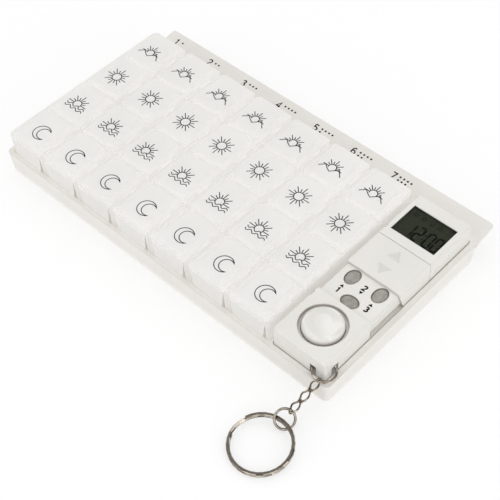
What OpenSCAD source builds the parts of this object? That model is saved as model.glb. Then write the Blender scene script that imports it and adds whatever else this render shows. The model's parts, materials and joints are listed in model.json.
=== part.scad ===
// Weekly pill organiser: a tray with seven removable day strips, four lidded compartments on each strip,
// and a removable alarm timer on a key chain.
// Frame: origin at the middle of the tray's underside, X along the row of days, Y away from the user, Z up.

/* [Tray] */
// Thickness of the tray's floor
floor_t = 1.6; // [1.2:0.2:2.4]
// Height of the tray's rim above the table
rim_h = 14.4; // [12:0.2:17]
// Width of the rim at the left end
wall_left = 1.9; // [1.6:0.1:3]
// Width of the rim at the right end
wall_right = 3.2; // [2.4:0.1:4]
// Width of the rim on the user's side
wall_near = 2.4; // [1.8:0.1:3.2]
// Width of the rim on the far side
wall_far = 1.8; // [1.4:0.1:2.6]
// How far the outside leans in from the rim to the underside
tray_draft = 0.6; // [0.2:0.1:1]
// Radius of the tray's upright corners
tray_corner_r = 3; // [2:0.5:5]
// Radius of the edge round the underside
base_edge_r = 1.6; // [0.8:0.2:2.4]
// Depth of the label flange behind the far wall
flange_depth = 13; // [10:0.5:16]
// How much the label flange climbs towards its far edge
flange_rise = 2.3; // [0:0.1:3.5]
// Thickness of the label flange
flange_t = 1.5; // [1.2:0.1:2.2]
// Thickness of the divider beside the timer
divider_t = 1.6; // [1.2:0.1:1.8]
// Width of the zone that the divider stands in
divider_zone = 2.65; // [2.5:0.05:3.4]
// Height of the low ribs that space the strips
rib_h = 4; // [2:0.5:6]
// Thickness of those ribs
rib_t = 0.9; // [0.7:0.1:1]
// Length of each rib
rib_len = 16; // [8:1:24]

/* [Day strips] */
// Distance from one day strip to the next
strip_pitch = 27; // [26:0.5:30]
// Distance from one compartment to the next along a strip
cell_pitch = 27.7; // [26.5:0.1:28.5]
// Gap between neighbouring strips at the top
strip_gap = 0.6; // [0.4:0.1:1]
// Height of a strip without its lids
strip_h = 25.5; // [22:0.5:28]
// How far a strip's sides lean in towards the floor
strip_draft = 0.6; // [0.3:0.1:0.8]
// How far a strip's ends lean in towards the floor
strip_end_draft = 1.1; // [0.5:0.1:1.4]
// Radius of a strip's upright corners
strip_corner_r = 4; // [2.5:0.5:5]
// Thickness of a strip's floor
strip_floor = 1.2; // [1:0.1:1.8]
// Thickness of the side walls at the top
strip_wall = 1.9; // [1.7:0.1:2.4]
// Thickness of the walls between compartments
cross_wall = 1.6; // [1.4:0.1:2.2]
// Thickness of the side rails beside the lids
rail_t = 1.3; // [1.1:0.1:1.5]
// Radius along the bottom of each compartment
cell_scoop_r = 3; // [1:0.5:6]
// Length of the gripping slots in the right rail
rail_slot_len = 3.2; // [2:0.2:5]

/* [Lids] */
// Thickness of a lid's plate
lid_plate_t = 1.2; // [1:0.1:1.6]
// Height of a lid's raised cap above its plate
lid_rise = 2; // [1:0.1:2.2]
// Half of the cap's width across the strip
cap_half_w = 9.2; // [8:0.1:9.3]
// Gap between a lid and the rails beside it
lid_gap = 0.25; // [0.15:0.05:0.35]
// Gap between one lid and the next
lid_end_gap = 1.3; // [1.1:0.1:1.5]
// Gap between the raised caps of neighbouring lids
cap_gap = 2.3; // [2:0.1:3.5]
// Radius of the cap's corners
cap_corner_r = 3; // [2:0.5:5]
// Radius of the hinge pins
pin_r = 0.6; // [0.4:0.05:0.6]
// Running clearance of a hinge pin in its eye
pin_clear = 0.07; // [0.03:0.01:0.1]
// Distance of the hinge axis from the rail
hinge_inset = 1.2; // [1.1:0.1:1.6]
// Width of the thumb tab on a lid's free side
tab_w = 8; // [5:0.5:12]

/* [Timer] */
// Width of the timer
timer_w = 32.5; // [31.5:0.5:36]
// Length of the timer
timer_len = 110.8; // [110:0.2:112]
// Height of the timer
timer_h = 25; // [24.5:0.5:28]
// Wall thickness of the timer's shells
case_wall = 1.5; // [1.2:0.1:1.8]
// Height of the joint between the shells
split_h = 10.4; // [9.6:0.2:10.6]
// Radius of the timer's upright corners
case_corner_r = 1.5; // [1:0.25:2.5]
// Width of the bevel round the timer's top
case_bevel = 0.7; // [0.3:0.1:1]
// Depth of the button panel below the timer's top
panel_drop = 1.5; // [1.3:0.1:1.8]
// Clearance between the timer and the tray
timer_clear = 0.4; // [0.2:0.1:0.8]
// Length of the section with the round button
dome_section = 32.1; // [31.5:0.1:33]
// Length of the section with the display
lcd_section = 33.1; // [32:0.1:34]
// Share of the button panel's length that the sliding cover takes
cover_share = 0.522; // [0.5:0.002:0.53]
// Gap between the sliding cover and what it slides on
cover_gap = 0.2; // [0.15:0.05:0.3]
// Thickness of the sliding cover's skirts
skirt_t = 1; // [0.8:0.1:1.2]
// Height of the sliding cover's skirts above the joint between the shells
skirt_above_split = 2.1; // [1:0.1:3.2]
// Width of the arrows on the sliding cover
arrow_w = 7.4; // [5:0.2:9]

/* [Display and buttons] */
// Width of the timer's top beside the display's opening
lcd_side = 3; // [3:0.25:5.25]
// Height of the display's opening
lcd_h = 19.6; // [16:0.4:22]
// Distance of the display's middle from the timer's far end
lcd_from_end = 17.6; // [15:0.2:19]
// Width of the three small buttons
button_w = 7; // [5.5:0.1:7.4]
// Length of the three small buttons
button_len = 9.5; // [8:0.1:10]
// Travel of the three small buttons
button_travel = 0.8; // [0.4:0.1:1]
// Diameter of the round alarm button
dome_d = 20.8; // [18:0.2:21.6]
// Diameter of the recess round the alarm button
dome_recess_d = 24.3; // [23.3:0.1:26]
// Height of the alarm button above the timer's top
dome_rise = 3; // [2:0.2:4]
// Travel of the alarm button
dome_travel = 1; // [0.5:0.1:1.2]
// Distance of the alarm button's middle from the timer's near end
dome_from_end = 16.85; // [16:0.05:17.5]

/* [Key chain] */
// Middle radius of the ring through the timer's corner
corner_ring_r = 5.6; // [5.4:0.1:5.8]
// Width of the corner ring's flat wire
corner_band_w = 1.1; // [0.6:0.05:1.1]
// Thickness of each of the corner ring's two turns
corner_turn_t = 0.75; // [0.4:0.05:0.75]
// Tilt of the corner ring, its front resting low
corner_ring_tilt = 8; // [6:1:10]
// Radius of the wire of the chain's links
link_wire_r = 0.5; // [0.4:0.05:0.5]
// Half width of a link, to the middle of its wire
link_half_w = 1.7; // [1.7:0.05:1.9]
// Middle radius of the jump ring
jump_r = 4.9; // [4.8:0.05:5]
// Radius of the wire of the jump ring
jump_wire_r = 0.65; // [0.5:0.05:0.7]
// Middle radius of the large split ring
split_r = 15; // [14.5:0.1:15.4]
// Width of the split ring's flat wire
split_band_w = 1.7; // [1.2:0.1:2]
// Thickness of each of the split ring's two turns
split_turn_t = 1.3; // [1:0.1:1.4]

/* [Hidden] */
$fn = 48;
strip_count = 7;
meals = ["bedtime", "evening", "noon", "morning"];
cell_count = len(meals);

// Colours as the photo shows them
tray_white = [0.93, 0.92, 0.9];
frost = [0.86, 0.88, 0.88, 0.8];
lid_frost = [0.9, 0.92, 0.92, 0.85];
timer_white = [0.95, 0.95, 0.94];
rubber_grey = [0.5, 0.49, 0.47];
lcd_dark = [0.16, 0.18, 0.17];
clear_tint = [0.7, 0.74, 0.74, 0.35];
board_green = [0.1, 0.4, 0.22];
contact_steel = [0.75, 0.75, 0.75];
cell_silver = [0.55, 0.57, 0.6];
switch_black = [0.12, 0.12, 0.13];
chain_nickel = [0.6, 0.58, 0.54];

// Shared fine sizes
eps = 0.01;
over = 1;
loft_fn = 32;
cap_fn = 20;
seat_gap = 0.1;

// Tray layout, left to right and near to far
strips_w = strip_count * strip_pitch;
tray_len = wall_left + strips_w + divider_zone + timer_w + timer_clear + wall_right;
strips_x0 = wall_left - tray_len / 2;
timer_x = strips_x0 + strips_w + divider_zone;
timer_bay_x0 = timer_x - timer_clear;
strip_len = cell_count * cell_pitch;
bay_len = max(timer_len, strip_len) + 2 * timer_clear;
tray_w = wall_near + bay_len + wall_far;
bay_y0 = wall_near - tray_w / 2;
bay_y1 = bay_y0 + bay_len;
timer_y = bay_y0 + timer_clear;
divider_x1 = timer_bay_x0;
divider_x0 = divider_x1 - divider_t;
strip_rim_clear = 0.25;
strip_lean_at_rim = strip_end_draft * (1 - (rim_h - floor_t) / strip_h);
strip_y0 = bay_y0 + strip_rim_clear - strip_lean_at_rim;
rib_inset = 12;
bay_corner_r = 2;
flange_edge_r = 1.5;

// Strip sizes, measured from a strip's middle line and its underside
strip_w = strip_pitch - strip_gap;
rail_in = strip_w / 2 - rail_t;
cell_half_w = strip_w / 2 - strip_wall;
cell_half_len = (cell_pitch - cross_wall) / 2;
lid_seat_z = strip_h - lid_plate_t;
hinge_x = hinge_inset - rail_in;
hinge_z = lid_seat_z + lid_plate_t / 2;
eye_r = pin_r + pin_clear;
ear_half = 1.3;
ear_x1 = hinge_x + eye_r + 0.5;
pin_end_clear = 0.8;
eye_end = 0.65;
hinge_relief_r = norm([hinge_inset - lid_gap, lid_plate_t / 2]) + 0.1;
tab_reach = 0.95;
tab_clear = 0.3;
rail_slot_d = 0.9;
rail_slot_h = 2.5;

// Lid sizes, measured from a compartment's middle
lid_x0 = lid_gap - rail_in;
lid_x1 = rail_in - lid_gap;
lid_half_len = (cell_pitch - lid_end_gap) / 2;
hinge_half_len = cell_pitch / 2 - ear_half - lid_gap;
pin_half_len = cell_pitch / 2 - pin_end_clear;
cap_half_len = (cell_pitch - cap_gap) / 2;
cap_round = 0.6;

// Timer sizes, measured from its near left bottom corner
panel_z = timer_h - panel_drop;
top_inner_z = panel_z - case_wall;
panel_y0 = dome_section;
panel_y1 = timer_len - lcd_section;
cover_len = cover_share * (panel_y1 - panel_y0);
cover_travel = panel_y1 - panel_y0 - cover_len - cover_gap;
cover_y0 = panel_y0 + cover_travel;
skirt_room = skirt_t + cover_gap;
skirt_z0 = split_h + skirt_above_split;
skirt_h = timer_h - skirt_z0;
skirt_slant = 4;
bead_w = 0.5;
bead_h = 1;
bead_z = skirt_z0 + 1;
inner_x0 = case_wall + skirt_room;
inner_w = timer_w - 2 * inner_x0;
mid_x = timer_w / 2;
dome_x = mid_x + 0.4;
dome_y = dome_from_end;
side_notch_len = 3.3;
side_notch_d = 0.9;
side_notch_h = 2.5;
side_notch_ys = [timer_len / 2 - cell_pitch, timer_len / 2 + cell_pitch];

// Display
lcd_w = timer_w - 2 * lcd_side;
lcd_y = timer_len - lcd_from_end;
window_t = 0.8;
window_recess = 0.6;
window_lap = 1;
window_z = timer_h - window_recess - window_t;
pocket_clear = 0.1;
lcd_t = 1.5;
lcd_lap = 0.6;
lcd_z = window_z - seat_gap - lcd_t;

// Batteries, their box and its door
door_clear = 0.15;
box_rim = 0.8;
box_side_room = 0.6;
door_overlap = 1;
door_w = inner_w - 2 * (box_side_room + door_clear + box_rim);
box_in_w = door_w - 2 * door_overlap;
cell_gap = 0.4;
cell_side_room = 0.3;
cell_d = (box_in_w - cell_gap - 2 * cell_side_room) / 2;
cell_spread = (cell_d + cell_gap) / 2;
cell_nub_len = 1.2;
cell_nub_r = 1.9;
contact_t = 0.4;
contact_room = 1.6;
contact_w = 8;
door_y0 = 36;
door_tongue = 6;
door_lip = 2.2;
box_in_y0 = door_y0 + door_tongue + door_lip;
box_in_y1 = timer_len - 18.9;
box_in_len = box_in_y1 - box_in_y0;
cell_len = box_in_len - 2 * contact_room;
door_len = box_in_y1 + door_lip - door_y0;
box_roof = 1.1;
box_h = case_wall + cell_d + 1.1 + box_roof;
cells_y = (box_in_y0 + box_in_y1) / 2;
cells_z = case_wall + 0.3 + cell_d / 2;

// Circuit board, its switches and the buttons above it
board_t = 1.2;
board_z = box_h;
board_top = board_z + board_t;
board_clear = 0.3;
board_y0 = 12.2;
button_mid_x = mid_x + 0.3;
button_top = panel_z - 0.1;
button_clear = 0.3;
button_lap = 0.7;
button_side_room = 0.65;
button_spread = inner_w / 2 - button_side_room - (button_w / 2 + button_clear + button_lap);
far_button_y = cover_y0 - button_len / 2 - 0.65;
near_button_y = panel_y0 + button_w / 2 + 0.5;
flange_top_z = top_inner_z - seat_gap;
flange_disc_t = 0.8;
switch_w = 6;
switch_h = 0.85 * (flange_top_z - flange_disc_t - dome_travel - board_top);
switch_body_h = 0.8 * switch_h;
switch_tip_z = board_top + switch_h;
stem_r = 1.4;
dome_floor_z = timer_h - 2;
dome_hole_clear = 0.25;
dome_lap = 0.4;
dome_r = dome_d / 2;
dome_shoulder_r = 3.2;
dome_crown = 0.5;
dome_shell = 1.4;
dome_top_z = timer_h + dome_rise;
buzzer_r = 11;
buzzer_h = 3.5;
collar_t = 0.8;
collar_h = 2.5;
sound_hole_r = 0.7;

// Screws
screw_r = 1;
screw_head_r = 2;
screw_head_h = 1.4;
screw_seat_z = 4;
screw_len = 11;
screw_fit = 0.05;
counterbore_r = 2.2;
lower_boss_r = 3.2;
upper_boss_r = 2.6;
screw_inset = 5.2;
screw_near_y = 30;
screw_spots = [
    for (x = [screw_inset, timer_w - screw_inset], y = [screw_near_y, timer_len - screw_inset]) [x, y]
];
door_screw_y = door_y0 + 3.2;
door_screw_len = 5;
door_head_h = 0.9;
board_y1 = timer_len - screw_inset - upper_boss_r - board_clear;

// The ring's post at the timer's near right corner, and the pocket round it
ring_x = timer_w - 2.3;
ring_y = 2.2;
ring_z = 16.3;
pocket_x = timer_w - 3;
pocket_y = 2.9;
pocket_z = 15;
pocket_r = 6.9;
pocket_half_h = 3.4;
pocket_wall = 0.8;
post_w = 5.6;
post_len = 4.45;

// Key chain. Three points are chosen by hand: where the first link hangs, and the middles of the last rings
ring_middle = [timer_x + ring_x, timer_y + ring_y, floor_t + ring_z];
ring_heading = -49;
hang_turn = -31;
split_gap = 0.12;
split_jog = 40;
ring_steps = 30;
corner_stack = 2 * corner_turn_t + split_gap;
hang_point = ring_middle + tilted_point(corner_ring_r, hang_turn, corner_ring_tilt, ring_heading);
jump_middle = [106.78, -77.95, 4.85];
jump_lean = 45;
jump_heading = -36;
jump_contact_turn = 131;
jump_contact = jump_middle + tilted_point(jump_r, jump_contact_turn, jump_lean, jump_heading);
split_tilt = 5;
split_middle = [106.6, -94, (split_r + split_band_w / 2) * sin(split_tilt)];
chain_vector = jump_contact - hang_point;
chain_span = norm(chain_vector);
chain_heading = atan2(chain_vector.y, chain_vector.x);
chain_dive = asin(-chain_vector.z / chain_span);
link_play = 0.25;
link_overlap = 2 * link_wire_r + link_play;
ring_play = 0.4;
hang_overlap = link_wire_r + corner_stack / 2 + ring_play;
jump_overlap = link_wire_r + jump_wire_r + link_play;
// Half length of a link, so that three of them just span from ring to ring
link_half_len = (chain_span + 2 * link_overlap + hang_overlap + jump_overlap) / 6;
link_step = 2 * link_half_len - link_overlap;
link_straight = link_half_len - link_half_w;
link_twist = 60;
link_roll = -30;
link_end_steps = 8;
link_side_steps = 8;
wire_sides = 8;

// Vector turned about the upright axis
function turned(v, a) = [v.x * cos(a) - v.y * sin(a), v.x * sin(a) + v.y * cos(a), v.z];

// Point on a circle that is tilted down towards a heading, from the circle's middle
function tilted_point(r, a, tilt, heading) =
    r * turned([cos(a) * cos(tilt), sin(a), -cos(a) * sin(tilt)], heading);

function unit(v) = v / norm(v);

// Points of a profile swept along a path that goes round the origin
function swept_points(path, profile, closed) =
    let (n = len(path))
    [
        for (i = [0:n - 1])
            let (
                before = path[closed ? (i + n - 1) % n : max(i - 1, 0)],
                after = path[closed ? (i + 1) % n : min(i + 1, n - 1)],
                along = unit(after - before),
                out = unit(path[i] - (path[i] * along) * along),
                side = cross(along, out)
            )
            for (q = profile)
                path[i] + q.x * out + q.y * side
    ];

// Triangles between the rings of a sweep, and over its two ends where it is open
function swept_faces(rings, sides, closed) =
    concat(
        [
            for (i = [0:rings - (closed ? 1 : 2)], j = [0:sides - 1])
                let (
                    here = i * sides,
                    next = ((i + 1) % rings) * sides,
                    k = (j + 1) % sides
                )
                each [[here + j, next + j, next + k], [here + j, next + k, here + k]]
        ],
        closed ? [] : [for (j = [1:sides - 2]) [0, j, j + 1]],
        closed ? [] : [for (j = [1:sides - 2]) let (e = (rings - 1) * sides) [e, e + j + 1, e + j]]
    );

function round_profile(r, sides) = [for (j = [0:sides - 1]) r * [cos(360 * j / sides), sin(360 * j / sides)]];

// Flat wire with its corners taken off
function band_profile(w, t) =
    let (c = 0.25 * t, x = w / 2, y = t / 2)
    [[x, y - c], [x - c, y], [c - x, y], [-x, y - c], [-x, c - y], [c - x, -y], [x - c, -y], [x, c - y]];

module swept(path, profile, closed) {
    polyhedron(swept_points(path, profile, closed), swept_faces(len(path), len(profile), closed), 4);
}

// Rectangle with round corners, about the origin
module round_rect(w, l, r) {
    square([w - 2 * r, l], center = true);
    square([w, l - 2 * r], center = true);
    for (x = [-1, 1], y = [-1, 1])
        translate([x * (w / 2 - r), y * (l / 2 - r)]) circle(r);
}

// The same with its near left corner at the origin
module corner_rect(w, l, r) {
    translate([w / 2, l / 2]) round_rect(w, l, r);
}

// One thin layer of a lofted shape
module layer(w, l, r, z) {
    translate([0, 0, z]) linear_extrude(eps) round_rect(w, l, r);
}

// Flat ring of two stacked turns with a jog between them, standing on z = 0
module two_turn_ring(r, band_w, turn_t) {
    pitch = turn_t + split_gap;
    turn_end = 720 - split_jog;
    steps = round(2 * ring_steps * turn_end / 720);
    path = [
        for (i = [0:steps])
            let (
                a = turn_end * i / steps,
                climb = min(max((a - 360 + split_jog) / split_jog, 0), 1)
            )
            [r * cos(a), r * sin(a), turn_t / 2 + pitch * climb]
    ];
    centre = [0, 0, turn_t / 2 + pitch / 2];
    translate(centre)
        swept([for (p = path) p - centre], band_profile(band_w, turn_t), false);
}

// Tray

module tray_outside() {
    hull() {
        $fn = loft_fn;
        bottom_in = 2 * (tray_draft + base_edge_r);
        edge_in = 2 * tray_draft;
        layer(tray_len - bottom_in, tray_w - bottom_in, tray_corner_r, 0);
        layer(tray_len - edge_in - base_edge_r * 0.6, tray_w - edge_in - base_edge_r * 0.6, tray_corner_r,
            base_edge_r * 0.3);
        layer(tray_len - edge_in, tray_w - edge_in, tray_corner_r, base_edge_r);
        layer(tray_len, tray_w, tray_corner_r, rim_h - eps);
    }
}

module strips_bay() {
    w = divider_x0 - strips_x0;
    translate([strips_x0, bay_y0, floor_t])
        linear_extrude(rim_h) corner_rect(w, bay_len, bay_corner_r);
}

module timer_bay() {
    w = timer_w + 2 * timer_clear;
    translate([timer_bay_x0, bay_y0, floor_t])
        linear_extrude(rim_h) corner_rect(w, bay_len, min(bay_corner_r, case_corner_r));
}

// Low ribs that keep the strips apart, two on each line between strips
module strip_ribs() {
    for (i = [1:strip_count - 1], y = [bay_y0 + rib_inset, bay_y1 - rib_inset - rib_len])
        translate([strips_x0 + i * strip_pitch - rib_t / 2, y, floor_t - eps])
            cube([rib_t, rib_len, rib_h + eps]);
}

// Flange for the day numbers, climbing away from the far wall
module label_flange() {
    y0 = tray_w / 2 - wall_far;
    y1 = tray_w / 2;
    y2 = y1 + flange_depth;
    top = rim_h + flange_rise;
    profile = [
        [y0, rim_h],
        [y1, rim_h],
        [y2, top],
        [y2, top - flange_t],
        [y1 + 0.6, rim_h - flange_t],
        [y1 - 0.4, rim_h - 2 * flange_t],
        [y0, rim_h - 2 * flange_t]
    ];
    intersection() {
        translate([-tray_len / 2, 0, 0])
            rotate([90, 0, 90]) linear_extrude(tray_len) polygon(profile);
        translate([-tray_len / 2, y0 - flange_edge_r, 0])
            linear_extrude(2 * top) corner_rect(tray_len, y2 - y0 + flange_edge_r, flange_edge_r);
    }
}

module tray() {
    color(tray_white) {
        difference() {
            tray_outside();
            strips_bay();
            timer_bay();
        }
        strip_ribs();
        label_flange();
    }
}

// Day strips

// The space of one compartment, with rounded bottom edges, from the middle of the compartment
module cell_space() {
    r = cell_scoop_r;
    h = strip_h - strip_floor + over;
    translate([0, cell_half_len, strip_floor]) rotate([90, 0, 0]) linear_extrude(2 * cell_half_len) {
        translate([-cell_half_w, r]) square([2 * cell_half_w, h - r]);
        translate([r - cell_half_w, 0]) square([2 * (cell_half_w - r), h]);
        for (x = [-1, 1])
            translate([x * (cell_half_w - r), r]) circle(r);
    }
}

// The space above the lid seats between the rails, less the ears that carry the hinge pins
module lid_space() {
    difference() {
        translate([-rail_in, -over, lid_seat_z])
            cube([2 * rail_in, strip_len + 2 * over, lid_plate_t + over]);
        for (k = [0:cell_count])
            translate([-rail_in - over, k * cell_pitch - ear_half, lid_seat_z - over])
                cube([ear_x1 + rail_in + over, 2 * ear_half, lid_plate_t + over]);
    }
}

// Eyes for the hinge pins: through the ears between lids, and closed at the strip's two ends
module hinge_eyes() {
    for (k = [1:cell_count - 1])
        translate([hinge_x, k * cell_pitch + ear_half + over, hinge_z])
            rotate([90, 0, 0]) cylinder(r = eye_r, h = 2 * (ear_half + over));
    for (y = [ear_half + over, strip_len - eye_end])
        translate([hinge_x, y, hinge_z])
            rotate([90, 0, 0]) cylinder(r = eye_r, h = ear_half + over - eye_end);
}

// Round channels that let the lids' hinged edges turn down beside the wall
module hinge_reliefs() {
    half = cell_pitch / 2 - ear_half;
    for (k = [0:cell_count - 1])
        translate([hinge_x, (k + 0.5) * cell_pitch + half, hinge_z])
            rotate([90, 0, 0]) cylinder(r = hinge_relief_r, h = 2 * half);
}

// Notches in the right rail for the lids' thumb tabs
module tab_notches() {
    half = tab_w / 2 + tab_clear;
    for (k = [0:cell_count - 1])
        translate([rail_in - over, (k + 0.5) * cell_pitch - half, lid_seat_z])
            cube([rail_t + 2 * over, 2 * half, lid_plate_t + over]);
}

// Gripping slots in the right rail
module rail_slots() {
    for (k = [1, cell_count - 1])
        translate([strip_w / 2 - rail_slot_d, k * cell_pitch - rail_slot_len / 2, strip_h - rail_slot_h])
            cube([rail_slot_d + over, rail_slot_len, rail_slot_h + over]);
}

module strip_form() {
    difference() {
        translate([0, strip_len / 2, 0]) hull() {
            $fn = loft_fn;
            layer(strip_w - 2 * strip_draft - 1, strip_len - 2 * strip_end_draft - 1, strip_corner_r, 0);
            layer(strip_w - 2 * strip_draft, strip_len - 2 * strip_end_draft, strip_corner_r, 0.6);
            layer(strip_w, strip_len, strip_corner_r, strip_h - eps);
        }
        for (k = [0:cell_count - 1])
            translate([0, (k + 0.5) * cell_pitch, 0]) cell_space();
        lid_space();
        hinge_eyes();
        hinge_reliefs();
        tab_notches();
        rail_slots();
    }
}

module strip(i) {
    translate([strips_x0 + (i - 0.5) * strip_pitch, strip_y0, floor_t])
        color(frost) strip_form();
}

// Lids

module lid_cap() {
    w = 2 * cap_half_w;
    l = 2 * cap_half_len;
    z = lid_seat_z + lid_plate_t;
    hull() {
        $fn = cap_fn;
        layer(w, l, cap_corner_r, z - eps);
        layer(w - cap_round, l - cap_round, cap_corner_r, z + lid_rise - cap_round);
        layer(w - 3 * cap_round, l - 3 * cap_round, cap_corner_r, z + lid_rise - eps);
    }
}

module lid_plate() {
    linear_extrude(lid_plate_t) {
        translate([lid_x0, -hinge_half_len]) square([lid_x1 - lid_x0, 2 * hinge_half_len]);
        translate([ear_x1 + lid_gap, -lid_half_len]) square([lid_x1 - ear_x1 - lid_gap, 2 * lid_half_len]);
        translate([lid_x1 - eps, -tab_w / 2]) square([tab_reach + eps, tab_w]);
    }
}

module lid_pins() {
    for (y = [hinge_half_len - 0.5, -pin_half_len])
        translate([hinge_x, y, hinge_z])
            rotate([-90, 0, 0]) cylinder(r = pin_r, h = pin_half_len - hinge_half_len + 0.5);
}

module lid(i, k) {
    translate([strips_x0 + (i - 0.5) * strip_pitch, strip_y0 + (k + 0.5) * cell_pitch, floor_t])
        color(lid_frost) {
            translate([0, 0, lid_seat_z]) lid_plate();
            lid_cap();
            lid_pins();
        }
}

// Timer

module on_timer() {
    translate([timer_x, timer_y, floor_t]) children();
}

module timer_outside() {
    bevel_z = timer_h - case_bevel;
    translate([0, 0, split_h]) linear_extrude(bevel_z - split_h + eps)
        corner_rect(timer_w, timer_len, case_corner_r);
    translate([mid_x, timer_len / 2, 0]) hull() {
        $fn = loft_fn;
        layer(timer_w, timer_len, case_corner_r, bevel_z);
        layer(timer_w - 2 * case_bevel, timer_len - 2 * case_bevel, case_corner_r, timer_h - eps);
    }
}

// The step down to the button panel and the side tracks that the sliding cover runs in
module cover_track() {
    l = panel_y1 - panel_y0;
    translate([-over, panel_y0, panel_z]) cube([timer_w + 2 * over, l, panel_drop + over]);
    for (x = [-over, timer_w - skirt_room])
        translate([x, panel_y0, skirt_z0 - cover_gap])
            cube([skirt_room + over, l, skirt_h + cover_gap + over]);
    groove = bead_w + cover_gap;
    for (x = [skirt_room - over, timer_w - skirt_room - groove])
        translate([x, panel_y0, bead_z - cover_gap])
            cube([groove + over, l, bead_h + 2 * cover_gap]);
}

module oval(w, l) {
    polygon([for (a = [0:11.25:359]) [w / 2 * cos(a), l / 2 * sin(a)]]);
}

function button_spots() = [
    [button_mid_x - button_spread, far_button_y, 0],
    [button_mid_x + button_spread, far_button_y, 0],
    [button_mid_x, near_button_y, 90]
];

module button_holes() {
    grow = 2 * button_clear;
    for (b = button_spots())
        translate([b.x, b.y, top_inner_z - over]) rotate(b.z)
            linear_extrude(panel_drop + case_wall + over) oval(button_w + grow, button_len + grow);
}

module dome_opening() {
    translate([dome_x, dome_y, dome_floor_z]) cylinder(d = dome_recess_d, h = timer_h, $fn = 96);
    translate([dome_x, dome_y, top_inner_z - over])
        cylinder(r = dome_r + dome_hole_clear, h = timer_h, $fn = 96);
}

module display_opening() {
    translate([mid_x, lcd_y, window_z]) linear_extrude(timer_h) square([lcd_w, lcd_h], center = true);
    w = lcd_w + 2 * (window_lap + pocket_clear);
    l = lcd_h + 2 * (window_lap + pocket_clear);
    translate([mid_x, lcd_y, top_inner_z - over])
        linear_extrude(window_z + window_t - top_inner_z + over) square([w, l], center = true);
}

// The round pocket in the corner that the ring passes through, less the post that it goes round
module ring_pocket() {
    difference() {
        translate([pocket_x, pocket_y, pocket_z - pocket_half_h])
            cylinder(r = pocket_r, h = 2 * pocket_half_h);
        translate([timer_w - post_w, -over, pocket_z - pocket_half_h - over])
            cube([post_w + over, post_len + over, 2 * (pocket_half_h + over)]);
    }
}

module side_notches() {
    for (y = side_notch_ys)
        translate([-over, y - side_notch_len / 2, timer_h - side_notch_h])
            cube([side_notch_d + over, side_notch_len, side_notch_h + over]);
}

module upper_cavity() {
    difference() {
        translate([inner_x0, case_wall, split_h - over])
            cube([inner_w, timer_len - 2 * case_wall, top_inner_z - split_h + over]);
        translate([pocket_x, pocket_y, 0]) cylinder(r = pocket_r + pocket_wall, h = timer_h);
        for (s = screw_spots)
            translate([s.x, s.y, 0]) cylinder(r = upper_boss_r, h = timer_h);
    }
}

module timer_upper_case() {
    on_timer() color(timer_white) difference() {
        timer_outside();
        upper_cavity();
        cover_track();
        button_holes();
        dome_opening();
        display_opening();
        ring_pocket();
        side_notches();
        for (s = screw_spots)
            translate([s.x, s.y, split_h - over])
                cylinder(r = screw_r + screw_fit, h = screw_seat_z + screw_len - split_h + over + 1);
    }
}

module battery_box() {
    w = door_w + 2 * (door_clear + box_rim);
    y0 = box_in_y0 - door_lip - box_rim;
    y1 = door_y0 + door_len + door_clear + box_rim;
    tongue_y0 = door_y0 - door_clear - box_rim;
    translate([mid_x - w / 2, y0, case_wall]) cube([w, y1 - y0, box_h - case_wall]);
    translate([mid_x - w / 2, tongue_y0, case_wall]) cube([w, y0 - tongue_y0 + eps, case_wall]);
    translate([mid_x, door_screw_y, case_wall]) cylinder(r = upper_boss_r, h = door_screw_len + 1);
}

module battery_space() {
    translate([mid_x - box_in_w / 2, box_in_y0, -over])
        cube([box_in_w, box_in_len, box_h - box_roof + over]);
    translate([mid_x, door_y0 + door_len / 2, -over])
        linear_extrude(case_wall + over)
            round_rect(door_w + 2 * door_clear, door_len + 2 * door_clear, 1 + door_clear);
    translate([mid_x, door_screw_y, 0]) cylinder(r = screw_r + screw_fit, h = door_screw_len + case_wall);
}

module screw_wells() {
    for (s = screw_spots) {
        translate([s.x, s.y, -over]) cylinder(r = counterbore_r, h = screw_seat_z + over);
        translate([s.x, s.y, 0]) cylinder(r = screw_r + 3 * screw_fit, h = split_h + over);
    }
}

// Round pattern of holes that lets the sounder be heard
module sound_holes() {
    translate([dome_x, dome_y, -over]) {
        cylinder(r = sound_hole_r, h = case_wall + 2 * over);
        for (a = [0:60:300])
            rotate(a) translate([4 * sound_hole_r, 0, 0])
                cylinder(r = sound_hole_r, h = case_wall + 2 * over);
    }
}

module lower_shell() {
    difference() {
        linear_extrude(split_h) corner_rect(timer_w, timer_len, case_corner_r);
        translate([case_wall, case_wall, case_wall])
            cube([timer_w - 2 * case_wall, timer_len - 2 * case_wall, split_h]);
    }
}

module timer_lower_case() {
    on_timer() color(timer_white) difference() {
        union() {
            lower_shell();
            battery_box();
            for (s = screw_spots)
                translate([s.x, s.y, case_wall - eps])
                    cylinder(r = lower_boss_r, h = split_h - case_wall + eps);
            translate([dome_x, dome_y, case_wall - eps]) difference() {
                cylinder(r = buzzer_r + seat_gap + collar_t, h = collar_h);
                translate([0, 0, -over]) cylinder(r = buzzer_r + seat_gap, h = collar_h + 2 * over);
            }
        }
        battery_space();
        screw_wells();
        sound_holes();
    }
}

// Raised gripping bars that fill a triangle pointing to the far end
module arrow_bars() {
    h = arrow_w * 0.75;
    bar = h / 9;
    intersection() {
        polygon([[-arrow_w / 2, -h / 2], [arrow_w / 2, -h / 2], [0, h / 2]]);
        for (k = [0:4])
            translate([-arrow_w, -h / 2 + 2 * k * bar]) square([2 * arrow_w, bar]);
    }
}

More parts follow.
